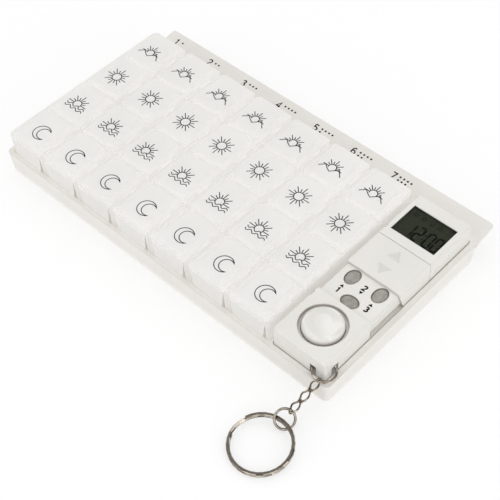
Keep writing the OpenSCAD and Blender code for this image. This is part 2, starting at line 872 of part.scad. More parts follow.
module slide_cover() {
    b = case_bevel;
    section = [
        [b, timer_h], [timer_w - b, timer_h], [timer_w, timer_h - b], [timer_w, skirt_z0],
        [timer_w - skirt_t, skirt_z0], [timer_w - skirt_t, bead_z],
        [timer_w - skirt_t - bead_w - cover_gap, bead_z + bead_h / 2],
        [timer_w - skirt_t, bead_z + bead_h], [timer_w - skirt_t, panel_z + cover_gap],
        [skirt_t, panel_z + cover_gap], [skirt_t, bead_z + bead_h],
        [skirt_t + bead_w + cover_gap, bead_z + bead_h / 2], [skirt_t, bead_z], [skirt_t, skirt_z0],
        [0, skirt_z0], [0, timer_h - b]
    ];
    slant = [
        [-over, skirt_z0 - over], [skirt_slant, skirt_z0 - over], [0, panel_z], [-over, panel_z]
    ];
    arrow_rise = 0.25;
    on_timer() color(timer_white) translate([0, cover_y0, 0]) {
        difference() {
            translate([0, cover_len, 0]) rotate([90, 0, 0]) linear_extrude(cover_len) polygon(section);
            translate([-over, 0, 0]) rotate([90, 0, 90]) linear_extrude(timer_w + 2 * over) polygon(slant);
        }
        translate([mid_x, cover_len * 0.75, timer_h - eps])
            linear_extrude(arrow_rise + eps) arrow_bars();
        translate([mid_x, cover_len * 0.27, timer_h - eps])
            linear_extrude(arrow_rise + eps) rotate(180) arrow_bars();
    }
}

module lcd_window() {
    on_timer() color(clear_tint) translate([mid_x, lcd_y, window_z])
        linear_extrude(window_t) square([lcd_w + 2 * window_lap, lcd_h + 2 * window_lap], center = true);
}

module lcd_panel() {
    on_timer() color(lcd_dark) translate([mid_x, lcd_y, lcd_z])
        linear_extrude(lcd_t) square([lcd_w + 2 * lcd_lap, lcd_h + 2 * lcd_lap], center = true);
}

module lcd_connector() {
    strip_t = 1.8;
    on_timer() color(rubber_grey)
        for (y = [-1, 1])
            translate([mid_x - lcd_w * 0.45, lcd_y + y * (lcd_h / 2 - strip_t) - strip_t / 2, board_top])
                cube([lcd_w * 0.9, strip_t, lcd_z - board_top]);
}

module circuit_board() {
    w = inner_w - 2 * board_clear;
    on_timer() color(board_green) difference() {
        translate([mid_x - w / 2, board_y0, board_z]) cube([w, board_y1 - board_y0, board_t]);
        for (s = screw_spots)
            translate([s.x, s.y, 0]) cylinder(r = upper_boss_r + board_clear, h = timer_h);
    }
}

module button_switches() {
    spots = concat([[dome_x, dome_y, 0]], button_spots());
    on_timer() color(switch_black)
        for (s = spots)
            translate([s.x, s.y, board_top]) {
                translate([-switch_w / 2, -switch_w / 2, 0]) cube([switch_w, switch_w, switch_body_h]);
                cylinder(r = stem_r, h = switch_h);
            }
}

module buzzer() {
    on_timer() color(switch_black) translate([dome_x, dome_y, case_wall]) difference() {
        cylinder(r = buzzer_r, h = buzzer_h);
        translate([0, 0, buzzer_h - 0.8]) cylinder(r = 1.5, h = over);
    }
}

module alarm_button() {
    hollow_r = dome_r - dome_shell - 1.6;
    shoulder_z = dome_top_z - dome_crown - dome_shoulder_r;
    flange_r = dome_r + dome_hole_clear + dome_lap;
    flange_bottom_z = flange_top_z - flange_disc_t;
    outside = concat(
        [[0, flange_bottom_z], [flange_r, flange_bottom_z], [flange_r, flange_top_z], [dome_r, flange_top_z]],
        [for (a = [0:15:75]) [
            dome_r - dome_shoulder_r * (1 - cos(a)),
            shoulder_z + dome_shoulder_r * sin(a)
        ]],
        [[(dome_r - dome_shoulder_r) * 0.6, dome_top_z - dome_crown * 0.3], [0, dome_top_z]]
    );
    inside_top = dome_top_z - dome_crown - dome_shell;
    stem_bottom = switch_tip_z + dome_travel + seat_gap;
    on_timer() color(timer_white) translate([dome_x, dome_y, 0]) {
        difference() {
            rotate_extrude($fn = 96) polygon(outside);
            translate([0, 0, flange_bottom_z - over])
                cylinder(r = hollow_r, h = inside_top - flange_bottom_z + over);
        }
        translate([0, 0, stem_bottom]) cylinder(r = stem_r + 1, h = inside_top - stem_bottom + 0.5);
    }
}

module small_button(b) {
    lap = 2 * (button_clear + button_lap);
    stem_bottom = switch_tip_z + button_travel + seat_gap;
    on_timer() color(rubber_grey) translate([b.x, b.y, 0]) {
        rotate(b.z) {
            hull() {
                translate([0, 0, flange_top_z - eps]) linear_extrude(eps) oval(button_w, button_len);
                translate([0, 0, button_top - 0.5]) linear_extrude(eps) oval(button_w, button_len);
                translate([0, 0, button_top - eps])
                    linear_extrude(eps) oval(button_w - 1.4, button_len - 1.4);
            }
            translate([0, 0, flange_top_z - flange_disc_t])
                linear_extrude(flange_disc_t) oval(button_w + lap, button_len + lap);
        }
        translate([0, 0, stem_bottom])
            cylinder(r = stem_r, h = flange_top_z - stem_bottom - eps);
    }
}

module hour_button() {
    small_button(button_spots()[0]);
}

module minute_button() {
    small_button(button_spots()[1]);
}

module set_button() {
    small_button(button_spots()[2]);
}

// Two round cells side by side, pointing opposite ways
module battery_cells() {
    body_len = cell_len - cell_nub_len;
    on_timer() color(cell_silver)
        for (s = [-1, 1])
            translate([mid_x + s * cell_spread, cells_y, cells_z]) rotate([90 * s, 0, 0])
                translate([0, 0, -cell_len / 2]) {
                    cylinder(d = cell_d, h = body_len);
                    cylinder(r = cell_nub_r, h = cell_len);
                }
}

// Spring plates against the end walls of the battery space
module battery_contacts() {
    reach = contact_room - seat_gap;
    leaf = [
        [0, -contact_w / 2], [contact_t, -contact_w / 2], [contact_t, -2.6], [reach, -0.4], [reach, 0.4],
        [contact_t + 0.7, 2], [contact_t + 0.3, 2], [reach - contact_t, 0.2], [reach - contact_t, -0.2],
        [contact_t, -1.9], [contact_t, contact_w / 2], [0, contact_w / 2]
    ];
    on_timer() color(contact_steel)
        for (s = [-1, 1], e = [-1, 1])
            translate([mid_x + s * cell_spread, cells_y + e * box_in_len / 2, cells_z])
                rotate([0, 0, e > 0 ? 180 : 0]) translate([-contact_w / 2, 0, 0])
                    rotate([90, 0, 90]) linear_extrude(contact_w) polygon(leaf);
}

module battery_door() {
    on_timer() color(timer_white) difference() {
        translate([mid_x, door_y0 + door_len / 2, 0])
            linear_extrude(case_wall) round_rect(door_w, door_len, 1);
        translate([mid_x, door_screw_y, -over])
            cylinder(r = screw_r + 3 * screw_fit, h = case_wall + 2 * over);
        translate([mid_x, door_screw_y, -over]) cylinder(r = counterbore_r, h = door_head_h + over);
        for (k = [0:3])
            translate([mid_x - 5, door_y0 + door_len - 10 + 2 * k, -over]) cube([10, 0.8, over + 0.5]);
    }
}

module screw(head_z, seat_z, shaft_len) {
    translate([0, 0, head_z]) cylinder(r = screw_head_r, h = seat_z - head_z);
    translate([0, 0, seat_z - eps]) cylinder(r = screw_r, h = shaft_len);
}

module door_screw() {
    on_timer() color(contact_steel) translate([mid_x, door_screw_y, 0])
        screw(0.1, door_head_h, door_screw_len);
}

module case_screws() {
    on_timer() color(contact_steel)
        for (s = screw_spots)
            translate([s.x, s.y, 0]) screw(screw_seat_z - screw_head_h, screw_seat_z, screw_len);
}

// Key chain

module corner_ring() {
    color(chain_nickel) translate(ring_middle) rotate([0, corner_ring_tilt, ring_heading])
        translate([0, 0, -corner_stack / 2]) rotate(150)
            two_turn_ring(corner_ring_r, corner_band_w, corner_turn_t);
}

// One half of a link's flat outline: a round end, then a straight side back to the other end
function half_link() = concat(
    [
        for (i = [0:link_end_steps])
            let (a = 180 * i / link_end_steps - 90)
            [link_straight + link_half_w * cos(a), link_half_w * sin(a)]
    ],
    [for (i = [1:link_side_steps - 1]) [link_straight * (1 - 2 * i / link_side_steps), link_half_w]]
);

// Twisted link: its two round ends are turned opposite ways about its length
module chain_link(k) {
    start = hang_point - unit(chain_vector) * hang_overlap;
    middle = start + unit(chain_vector) * (link_half_len + (k - 1) * link_step);
    outline = concat(half_link(), [for (p = half_link()) -p]);
    path = [
        for (p = outline)
            let (turn = link_roll + link_twist * min(max(p.x / link_straight, -1), 1))
            [p.x, p.y * cos(turn), p.y * sin(turn)]
    ];
    color(chain_nickel) translate(middle) rotate([0, chain_dive, chain_heading])
        swept(path, round_profile(link_wire_r, wire_sides), true);
}

module jump_ring() {
    color(chain_nickel) translate(jump_middle) rotate([0, jump_lean, jump_heading])
        rotate_extrude() translate([jump_r, 0]) circle(jump_wire_r, $fn = 24);
}

module split_ring() {
    color(chain_nickel) translate(split_middle) rotate([split_tilt, 0, 0]) rotate(200)
        two_turn_ring(split_r, split_band_w, split_turn_t);
}

tray();
for (i = [1:strip_count]) {
    strip(i);
    for (k = [0:cell_count - 1])
        lid(i, k);
}
timer_upper_case();
timer_lower_case();
slide_cover();
lcd_window();
lcd_panel();
lcd_connector();
circuit_board();
button_switches();
buzzer();
alarm_button();
hour_button();
minute_button();
set_button();
battery_cells();
battery_contacts();
battery_door();
door_screw();
case_screws();
corner_ring();
chain_link(1);  // chain_link_1
chain_link(2);  // chain_link_2
chain_link(3);  // chain_link_3
jump_ring();
split_ring();
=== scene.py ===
import json
import math

import bpy
from mathutils import Matrix, Vector


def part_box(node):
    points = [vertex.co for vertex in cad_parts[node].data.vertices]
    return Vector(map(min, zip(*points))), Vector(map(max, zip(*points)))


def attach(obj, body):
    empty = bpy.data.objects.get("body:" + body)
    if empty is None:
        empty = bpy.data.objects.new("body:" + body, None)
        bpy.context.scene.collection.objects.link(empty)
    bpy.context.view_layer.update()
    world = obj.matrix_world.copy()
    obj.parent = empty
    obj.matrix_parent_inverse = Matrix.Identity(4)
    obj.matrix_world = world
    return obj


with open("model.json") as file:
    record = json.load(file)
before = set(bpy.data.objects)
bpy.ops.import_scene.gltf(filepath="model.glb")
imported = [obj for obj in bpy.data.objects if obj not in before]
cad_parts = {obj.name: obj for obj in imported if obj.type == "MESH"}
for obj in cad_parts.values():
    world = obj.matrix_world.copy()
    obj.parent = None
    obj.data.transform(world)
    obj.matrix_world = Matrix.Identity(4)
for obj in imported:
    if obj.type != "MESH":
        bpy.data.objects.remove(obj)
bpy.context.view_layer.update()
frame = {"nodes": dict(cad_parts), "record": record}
MM = 0.001

# Names and sizes that repeat the part's own, in millimetres

STRIP_COUNT = 7
MEALS = ("bedtime", "evening", "noon", "morning")
FLANGE_RISE = 2.3
FLANGE_DEPTH = 13
FLANGE_SLOPE = FLANGE_RISE / FLANGE_DEPTH
PANEL_ABOVE_BUTTON = 0.1


def add_to_scene(obj):
    bpy.context.scene.collection.objects.link(obj)
    return obj


def mesh_object(name, verts, faces, material):
    """Makes an object from points in millimetres."""
    mesh = bpy.data.meshes.new(name)
    mesh.from_pydata([tuple(c * MM for c in v) for v in verts], [], faces)
    mesh.update()
    obj = bpy.data.objects.new(name, mesh)
    obj.data.materials.append(material)
    return add_to_scene(obj)


# Camera, fitted to the straight edges of the tray and the timer in the photo

CAMERA_PLACE = (295.82, -279.56, 466.69)
CAMERA_HEADING = 45.55
CAMERA_DOWN = 50.78
CAMERA_ROLL = -3.22
FOCAL_PX = 1163.3
FRAME_PX = 500
SENSOR = 36


def make_camera():
    data = bpy.data.cameras.new("camera")
    data.sensor_width = SENSOR
    data.lens = FOCAL_PX / FRAME_PX * SENSOR
    data.clip_start = 0.01
    data.clip_end = 20
    camera = add_to_scene(bpy.data.objects.new("camera", data))
    turn = Matrix.Rotation(math.radians(CAMERA_HEADING), 4, "Z")
    tip = Matrix.Rotation(math.radians(90 - CAMERA_DOWN), 4, "X")
    roll = Matrix.Rotation(math.radians(CAMERA_ROLL), 4, "Z")
    camera.matrix_world = Matrix.Translation(Vector(CAMERA_PLACE) * MM) @ turn @ tip @ roll
    bpy.context.scene.camera = camera


# Materials

NOISE_SPAN = (0.3, 0.7)
# Spans of openness over which the painted crevice shade and the painted glow fade in
SHADED_SPAN = (0.05, 0.55)
LIT_SPAN = (0.1, 0.9)
OPENNESS_SAMPLES = 6
EDGE_SAMPLES = 4
BROAD_PATCHES = 35
FINE_GRAIN = 1600
PLASTIC_IOR = 1.48


class Paint:
    """One node material, with the few helpers that all of them share."""

    def __init__(self, name):
        self.material = bpy.data.materials.new(name)
        self.material.use_nodes = True
        self.nodes = self.material.node_tree.nodes
        self.links = self.material.node_tree.links
        self.nodes.clear()
        self.out = self.nodes.new("ShaderNodeOutputMaterial")
        self.shader = self.nodes.new("ShaderNodeBsdfPrincipled")
        self.links.new(self.shader.outputs["BSDF"], self.out.inputs["Surface"])
        self.coords = self.nodes.new("ShaderNodeTexCoord").outputs["Object"]

    def set(self, **values):
        """Values that are the same all over the surface, by the names of their sockets."""
        for key, value in values.items():
            socket = self.shader.inputs[key.replace("_", " ")]
            colour = socket.type == "RGBA"
            socket.default_value = (*value, 1) if colour else value

    def noise(self, scale, detail=3, stretch=(1, 1, 1)):
        mapping = self.nodes.new("ShaderNodeMapping")
        mapping.inputs["Scale"].default_value = stretch
        self.links.new(self.coords, mapping.inputs["Vector"])
        noise = self.nodes.new("ShaderNodeTexNoise")
        noise.inputs["Scale"].default_value = scale
        noise.inputs["Detail"].default_value = detail
        self.links.new(mapping.outputs["Vector"], noise.inputs["Vector"])
        return noise.outputs["Fac"]

    def grain(self):
        """The fine texture of a moulded or rubber surface."""
        return self.noise(FINE_GRAIN, detail=2)

    def spread(self, value, low, high, span=NOISE_SPAN):
        """A value within the span turned into the range from low to high."""
        node = self.nodes.new("ShaderNodeMapRange")
        node.inputs["From Min"].default_value = span[0]
        node.inputs["From Max"].default_value = span[1]
        node.inputs["To Min"].default_value = low
        node.inputs["To Max"].default_value = high
        self.links.new(value, node.inputs["Value"])
        return node.outputs["Result"]

    def vary_colour(self, value, light, dark):
        mix = self.nodes.new("ShaderNodeMix")
        mix.data_type = "RGBA"
        mix.inputs["A"].default_value = (*light, 1)
        mix.inputs["B"].default_value = (*dark, 1)
        self.links.new(self.spread(value, 0, 1), mix.inputs["Factor"])
        self.links.new(mix.outputs["Result"], self.shader.inputs["Base Color"])
        return mix.outputs["Result"]

    def openness(self, reach_mm):
        """1 where nothing lies within reach, and down to 0 in the depth of a gap."""
        near = self.nodes.new("ShaderNodeAmbientOcclusion")
        near.samples = OPENNESS_SAMPLES
        near.inputs["Distance"].default_value = reach_mm * MM
        return near.outputs["AO"]

    def painted_crevice_shade(self, shade, reach_mm):
        """Painted shade: multiplies the colour by a shade where other surfaces come close."""
        mix = self.nodes.new("ShaderNodeMix")
        mix.data_type = "RGBA"
        mix.blend_type = "MULTIPLY"
        mix.inputs["B"].default_value = (*shade, 1)
        base = self.shader.inputs["Base Color"]
        self.links.new(base.links[0].from_socket, mix.inputs["A"])
        self.links.new(self.spread(self.openness(reach_mm), 1, 0, SHADED_SPAN), mix.inputs["Factor"])
        self.links.new(mix.outputs["Result"], base)

    def painted_crevice_glow(self, low, high, reach_mm):
        """Painted light: an emission standing in for light come through the plastic, strongest where the
        outside light can't reach.
        """
        strength = self.spread(self.openness(reach_mm), high, low, LIT_SPAN)
        self.links.new(strength, self.shader.inputs["Emission Strength"])

    def glow(self, colour, share):
        """Lets a share of the light pass through, spread evenly."""
        passing = self.nodes.new("ShaderNodeBsdfTranslucent")
        mix = self.nodes.new("ShaderNodeMixShader")
        mix.inputs["Fac"].default_value = share
        self.links.new(colour, passing.inputs["Color"])
        self.links.new(self.shader.outputs["BSDF"], mix.inputs[1])
        self.links.new(passing.outputs["BSDF"], mix.inputs[2])
        self.links.new(mix.outputs["Shader"], self.out.inputs["Surface"])

    def rough(self, value, low, high):
        self.links.new(self.spread(value, low, high), self.shader.inputs["Roughness"])

    def bump(self, value, depth_mm, edge_mm):
        """Surface texture, over edges that look rounded by edge_mm."""
        bevel = self.nodes.new("ShaderNodeBevel")
        bevel.samples = EDGE_SAMPLES
        bevel.inputs["Radius"].default_value = edge_mm * MM
        node = self.nodes.new("ShaderNodeBump")
        node.inputs["Strength"].default_value = 1
        node.inputs["Distance"].default_value = depth_mm * MM
        self.links.new(value, node.inputs["Height"])
        self.links.new(bevel.outputs["Normal"], node.inputs["Normal"])
        self.links.new(node.outputs["Normal"], self.shader.inputs["Normal"])


def moulded(name, light, dark, rough, grain_depth=0.01, edge=0.35, coat=0.0, painted_shade=(0.4, 0.33, 0.28)):
    """Opaque moulded plastic with a fine grain, slightly uneven gloss and painted shade that darkens its
    crevices.
    """
    uneven = 0.08
    paint = Paint(name)
    broad = paint.noise(BROAD_PATCHES)
    paint.vary_colour(broad, light, dark)
    # painted shade: the colour is darkened and warmed where other surfaces come close
    paint.painted_crevice_shade(painted_shade, reach_mm=2.5)
    paint.rough(broad, rough, rough + uneven)
    paint.bump(paint.grain(), grain_depth, edge)
    paint.set(Coat_Weight=coat, Coat_Roughness=0.15, IOR=PLASTIC_IOR)
    return paint


def tray_moulding():
    """The tray's opaque white, with weak painted shade in its crevices and a painted glow in its bays that
    stands in for light from the frosted strips standing in them.
    """
    light = (0.78, 0.76, 0.72)
    dark = (0.755, 0.735, 0.695)
    # weak painted shade in the crevices
    paint = moulded("tray plastic", light, dark, rough=0.34, painted_shade=(0.86, 0.84, 0.82))
    # painted glow: a warm emission that lightens the bays and gaps from inside
    paint.set(Emission_Color=(1.0, 0.98, 0.94))
    paint.painted_crevice_glow(low=0, high=0.2, reach_mm=6)
    return paint


def glossy_dome(light, dark):
    """The alarm button's smooth white, with a thin clear gloss over it."""
    # painted shade, light, in the crevices round the dome
    painted_shade = (0.75, 0.7, 0.65)
    return moulded("dome plastic", light, dark, rough=0.16, grain_depth=0.004, edge=0.2, coat=0.4, painted_shade=painted_shade)


def frosted(name, rough, through):
    """Frosted plastic that lets part of the light through as a soft glow, with a painted glow that lightens
    its gaps.
    """
    light = (0.855, 0.85, 0.84)
    dark = (0.835, 0.83, 0.82)
    uneven = 0.1
    paint = Paint(name)
    broad = paint.noise(BROAD_PATCHES)
    colour = paint.vary_colour(broad, light, dark)
    paint.rough(broad, rough, rough + uneven)
    paint.bump(paint.grain(), depth_mm=0.012, edge_mm=0.3)
    # the emission colour is painted light, glowing in the gaps where the outside light can't reach
    paint.set(IOR=PLASTIC_IOR, Emission_Color=(1.0, 0.98, 0.95))
    paint.painted_crevice_glow(low=0.045, high=0.32, reach_mm=8)
    paint.glow(colour, through)
    return paint


def metal(name, light, dark, rough):
    """Polished metal with fine scratches and duller, darker patches."""
    uneven = 0.12
    paint = Paint(name)
    patches = paint.noise(scale=220)
    scratches = paint.noise(scale=2500, detail=2, stretch=(1, 1, 0.3))
    paint.vary_colour(patches, light, dark)
    paint.rough(patches, rough, rough + uneven)
    paint.bump(scratches, depth_mm=0.004, edge_mm=0.1)
    paint.set(Metallic=1.0)
    return paint


def flat_ink(name, colour):
    """Matt ink, a little lighter where it lies thin."""
    thin = tuple(1.5 * c + 0.01 for c in colour)
    paint = Paint(name)
    specks = paint.noise(scale=900, detail=2)
    paint.vary_colour(specks, colour, thin)
    paint.rough(specks, low=0.35, high=0.5)
    paint.set(Specular_IOR_Level=0.0)
    return paint


def button_rubber():
    """Grey rubber, mottled, with painted shade that darkens it at the rim."""
    paint = Paint("button rubber")
    blotches = paint.noise(scale=420, detail=4)
    paint.vary_colour(blotches, (0.355, 0.345, 0.31), (0.235, 0.225, 0.2))
    # painted shade at the rim, where the panel comes close
    paint.painted_crevice_shade((0.6, 0.58, 0.55), reach_mm=1.2)
    paint.rough(blotches, low=0.35, high=0.5)
    paint.bump(paint.grain(), depth_mm=0.01, edge_mm=0.3)
    return paint


def display_glass():
    """The greenish dark grey of an unlit display."""
    paint = Paint("display glass")
    clouds = paint.noise(scale=60)
    paint.vary_colour(clouds, (0.035, 0.039, 0.026), (0.044, 0.048, 0.034))
    paint.rough(clouds, low=0.25, high=0.35)
    paint.set(Specular_IOR_Level=0.0)
    return paint


def clear_window():
    """Clear plastic: nearly nothing of its own colour, and a faint gloss."""
    paint = Paint("clear window")
    smears = paint.noise(scale=90)
    paint.rough(smears, low=0.04, high=0.1)
    paint.set(Base_Color=(0.01, 0.012, 0.01), Alpha=0.04, Specular_IOR_Level=0.05)
    return paint


def make_plastics():
    white = ((0.75, 0.735, 0.7), (0.73, 0.715, 0.68))
    soft_black = ((0.02, 0.02, 0.022), (0.03, 0.03, 0.032))
    deep_black = ((0.015, 0.015, 0.015), (0.025, 0.025, 0.025))
    # Each moulded finish carries painted shade in its crevices, darkest with the default shade
    return {
        "tray_plastic": tray_moulding(),
        "frosted_plastic": frosted("frosted strip", rough=0.42, through=0.5),
        "lid_plastic": frosted("frosted lid", rough=0.36, through=0.4),
        "timer_plastic": moulded("timer plastic", *white, rough=0.26),
        # the cover's painted shade is faint
        "cover_plastic": moulded("cover plastic", *white, rough=0.3, edge=0.15, painted_shade=(0.85, 0.83, 0.8)),
        "dome_plastic": glossy_dome(*white),
        "switch_plastic": moulded("switch plastic", *soft_black, rough=0.4),
        "buzzer_plastic": moulded("buzzer plastic", *deep_black, rough=0.45),
        "board": moulded("circuit board", (0.02, 0.13, 0.05), (0.03, 0.19, 0.07), rough=0.35),
        "contact_rubber": moulded("contact rubber", (0.05, 0.05, 0.05), (0.12, 0.12, 0.12), rough=0.6),
        "button_rubber": button_rubber(),
        "display_glass": display_glass(),
        "clear_window": clear_window(),
    }


def make_metals():
    return {
        "cell_metal": metal("cell wrap", (0.5, 0.52, 0.55), (0.4, 0.42, 0.45), rough=0.25),
        "spring_steel": metal("spring steel", (0.7, 0.7, 0.7), (0.6, 0.6, 0.6), rough=0.25),
        "screw_steel": metal("screw steel", (0.65, 0.65, 0.65), (0.5, 0.5, 0.5), rough=0.3),
        "ring_metal": metal("ring nickel", (0.39, 0.35, 0.305), (0.19, 0.16, 0.13), rough=0.09),
        "chain_metal": metal("chain nickel", (0.37, 0.325, 0.28), (0.17, 0.14, 0.11), rough=0.1),
    }


def make_inks():
    return {
        "ink": flat_ink("black ink", (0.006, 0.006, 0.006)),
        "segment": flat_ink("display segment", (0.004, 0.005, 0.004)),
    }


def make_materials():
    paints = {**make_plastics(), **make_metals(), **make_inks()}
    return {name: paint.material for name, paint in paints.items()}


def dress_frame(materials):
    """Gives every solid of the frame its finish, from the record's slots."""
    slots = {s["node"]: s["material_slot"] for s in frame["record"]["subparts"]}
    for name, obj in frame["nodes"].items():
        obj.data.materials.clear()
        obj.data.materials.append(materials[slots[name]])


# Flat printed lines, in millimetres

PRINT_RISE = 0.03
PRINT_SINK = 0.02
MITRE_LIMIT = 0.5


def in_mm(corners):
    """The low and the high corner of a box, in millimetres."""
    return [corner / MM for corner in corners]


def around(centre, radius, angle):
    """The point at a radius and an angle in degrees from a centre."""
    turn = math.radians(angle)
    return centre[0] + radius * math.cos(turn), centre[1] + radius * math.sin(turn)


def ring_points(centre, radius, steps):
    return [around(centre, radius, 360 * i / steps) for i in range(steps)]


class Strokes:
    """Printed shapes, each a thin closed prism that stands a little out of its surface."""

    def __init__(self):
        self.verts = []
        self.faces = []

    def line(self, points, width, closed=False):
        """Adds one line of even width with mitred bends."""
        points = [Vector(p) for p in points]
        last = len(points) - 1
        steps = [(b - a).normalized() for a, b in zip(points, points[1:] + points[:1])]
        rows = []
        for i, point in enumerate(points):
            into = steps[i - 1] if closed or i > 0 else steps[0]
            away = steps[i] if closed or i < last else steps[last - 1]
            along = (into + away).normalized()
            side = Vector((-along.y, along.x))
            reach = 1 / max(MITRE_LIMIT, abs(side.dot(Vector((-away.y, away.x)))))
            offset = side * width / 2 * reach
            rows.append((point + offset, point - offset))
        self.ribbon(rows, closed)

    def ribbon(self, rows, closed):
        """Adds a prism over rows of left and right edge points."""
        base = len(self.verts)
        for row in rows:
            self.verts += [(point.x, point.y, PRINT_RISE) for point in row]
            self.verts += [(point.x, point.y, -PRINT_SINK) for point in row]
        count = len(rows)
        for i in range(count if closed else count - 1):
            a = base + 4 * i
            b = base + 4 * ((i + 1) % count)
            self.faces += [(a, a + 1, b + 1, b), (a + 2, b + 2, b + 3, a + 3)]
            self.faces += [(a, b, b + 2, a + 2), (a + 1, a + 3, b + 3, b + 1)]
        if not closed:
            end = base + 4 * (count - 1)
            self.faces += [(base, base + 2, base + 3, base + 1), (end, end + 1, end + 3, end + 2)]

    def polygon(self, points):
        """Adds a filled shape."""
        base = len(self.verts)
        count = len(points)
        self.verts += [(x, y, PRINT_RISE) for x, y in points] + [(x, y, -PRINT_SINK) for x, y in points]
        self.faces.append(tuple(range(base, base + count)))
        self.faces.append(tuple(range(base + 2 * count - 1, base + count - 1, -1)))
        for i in range(count):
            k = (i + 1) % count
            self.faces.append((base + i, base + count + i, base + count + k, base + k))

    def dot(self, centre, radius):
        self.polygon(ring_points(centre, radius, steps=12))

    def circle(self, centre, radius, width, steps=28):
        self.line(ring_points(centre, radius, steps), width, closed=True)

    def place(self, name, material, where, body, tip=0.0):
        """Makes the object with the shape's middle at where, tipped about x and riding on body."""
        turn = Matrix.Rotation(math.radians(tip), 4, "X")
        verts = [tuple(Vector(where) + turn @ Vector(v)) for v in self.verts]
        obj = mesh_object(name, verts, self.faces, material)
        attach(obj, body)
        return obj


# Pictures on the lids, one for each meal, drawn about the middle of the lid

ICON_STROKE = 0.47
ICON_SHIFT = -1.2
PEAKS = [(-7.2, -4.5), (-4.4, -1.7), (-2.4, -3.3), (0, -4.6), (3.8, -0.7), (7.2, -4.5)]


def rays(icon, centre, inner, long, short, angles):
    """Lines that point away from a centre, every other one longer."""
    for i, angle in enumerate(angles):
        reach = short if i % 2 else long
        icon.line([around(centre, inner, angle), around(centre, reach, angle)], ICON_STROKE)


def part_sun(icon, centre, radius, start, end):
    """The part of the sun's edge from start to end degrees."""
    step = 20
    icon.line([around(centre, radius, angle) for angle in range(start, end + 1, step)], ICON_STROKE)


def upper_rays(icon, centre, inner, long, short):
    """Nine rays from the right over the top to the left."""
    gaps = 8
    rays(icon, centre, inner, long, short, [180 * i / gaps for i in range(gaps + 1)])


def noon_icon():
    """The high sun, with rays all round."""
    middle = (0, 0)
    ray_count = 16
    angles = [360 * i / ray_count for i in range(ray_count)]
    icon = Strokes()
    icon.circle(middle, 2.7, ICON_STROKE)
    rays(icon, middle, inner=2.9, long=6.8, short=5.1, angles=angles)
    return icon


def morning_icon():
    """The sun coming up behind two peaks."""
    sun = (-0.2, -1.6)
    icon = Strokes()
    icon.line(PEAKS, ICON_STROKE)
    part_sun(icon, sun, radius=2.3, start=-15, end=205)
    upper_rays(icon, sun, inner=2.5, long=5.9, short=4.4)
    return icon


def evening_icon():
    """The sun going down behind two waves."""
    sun = (-0.5, -1.2)
    wave_reach = 6.5
    wave_height = 0.75
    wave_length = 4.2
    wave_steps = 18
    icon = Strokes()
    part_sun(icon, sun, radius=2.5, start=-40, end=220)
    upper_rays(icon, sun, inner=2.7, long=6.5, short=4.8)
    across = [wave_reach * (i / wave_steps - 1) for i in range(2 * wave_steps + 1)]
    for level in (-3.0, -4.9):
        wave = [(x, level + wave_height * math.sin(2 * math.pi * x / wave_length)) for x in across]
        icon.line(wave, ICON_STROKE)
    return icon


def bedtime_icon():
    """The crescent moon, open to the right: one circle less another."""
    outer_r = 5.0
    inner_r = 3.85
    shift = 1.65
    centre = (1.8, -0.9)
    inner_centre = (centre[0] + shift, centre[1])
    steps = 22
    horn = math.acos((outer_r ** 2 + shift ** 2 - inner_r ** 2) / (2 * outer_r * shift))
    inner_horn = math.atan2(outer_r * math.sin(horn), outer_r * math.cos(horn) - shift)
    horn = math.degrees(horn)
    inner_horn = math.degrees(inner_horn)
    outer = [around(centre, outer_r, horn + (360 - 2 * horn) * i / steps) for i in range(steps + 1)]
    inner = [
        around(inner_centre, inner_r, 360 - inner_horn - (360 - 2 * inner_horn) * i / steps)
        for i in range(1, steps)
    ]
    icon = Strokes()
    icon.line(outer + inner, ICON_STROKE, closed=True)
    return icon


ICONS = {"bedtime": bedtime_icon, "evening": evening_icon, "noon": noon_icon, "morning": morning_icon}


def print_lids(materials):
    for i in range(1, STRIP_COUNT + 1):
        strip_low, strip_high = in_mm(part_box(f"strip_{i}"))
        x = (strip_low.x + strip_high.x) / 2
        for meal in MEALS:
            low, high = in_mm(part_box(f"lid_{i}_{meal}"))
            y = (low.y + high.y) / 2 + ICON_SHIFT
            ICONS[meal]().place(f"print_{i}_{meal}", materials["ink"], (x, y, high.z), f"lid_body_{i}_{meal}")


# Plain numbers, drawn as lines on a grid of 4 by 6

GRID_W = 4
GRID_H = 6
NUMBER_LINES = {
    1: [[(0.8, 4.8), (2.2, 6), (2.2, 0)]],
    2: [[(0.2, 4.6), (0.8, 5.7), (2, 6), (3.3, 5.6), (3.7, 4.4), (3.2, 3.2), (0.2, 0), (3.9, 0)]],
    3: [[(0.3, 5.3), (1.4, 6), (2.8, 5.8), (3.4, 4.7), (2.8, 3.5), (1.6, 3.2)],
        [(1.6, 3.2), (3, 2.9), (3.8, 1.7), (3, 0.4), (1.5, 0), (0.2, 0.7)]],
    4: [[(3.8, 1.6), (0, 1.6), (2.8, 6), (2.8, 0)]],
    5: [[(3.5, 6), (0.7, 6), (0.4, 3.3), (2, 3.7), (3.5, 2.9), (3.8, 1.6), (2.8, 0.3), (1.4, 0), (0.2, 0.6)]],
    6: [[(3.2, 5.6), (1.8, 6), (0.6, 4.9), (0.1, 2.6), (0.6, 0.7), (2, 0), (3.4, 0.6), (3.8, 1.9), (3.1, 3.2),
         (1.8, 3.5), (0.5, 2.7)]],
    7: [[(0.1, 6), (3.9, 6), (1.6, 0)]],
}


def plain_number(number, height, stroke):
    """A number from 1 to 7, drawn about its middle."""
    scale = height / GRID_H
    shape = Strokes()
    for line in NUMBER_LINES[number]:
        shape.line([((x - GRID_W / 2) * scale, (y - GRID_H / 2) * scale) for x, y in line], stroke)
    return shape


# Day marks on the flange: a number, and as many dots as the day's place in the week

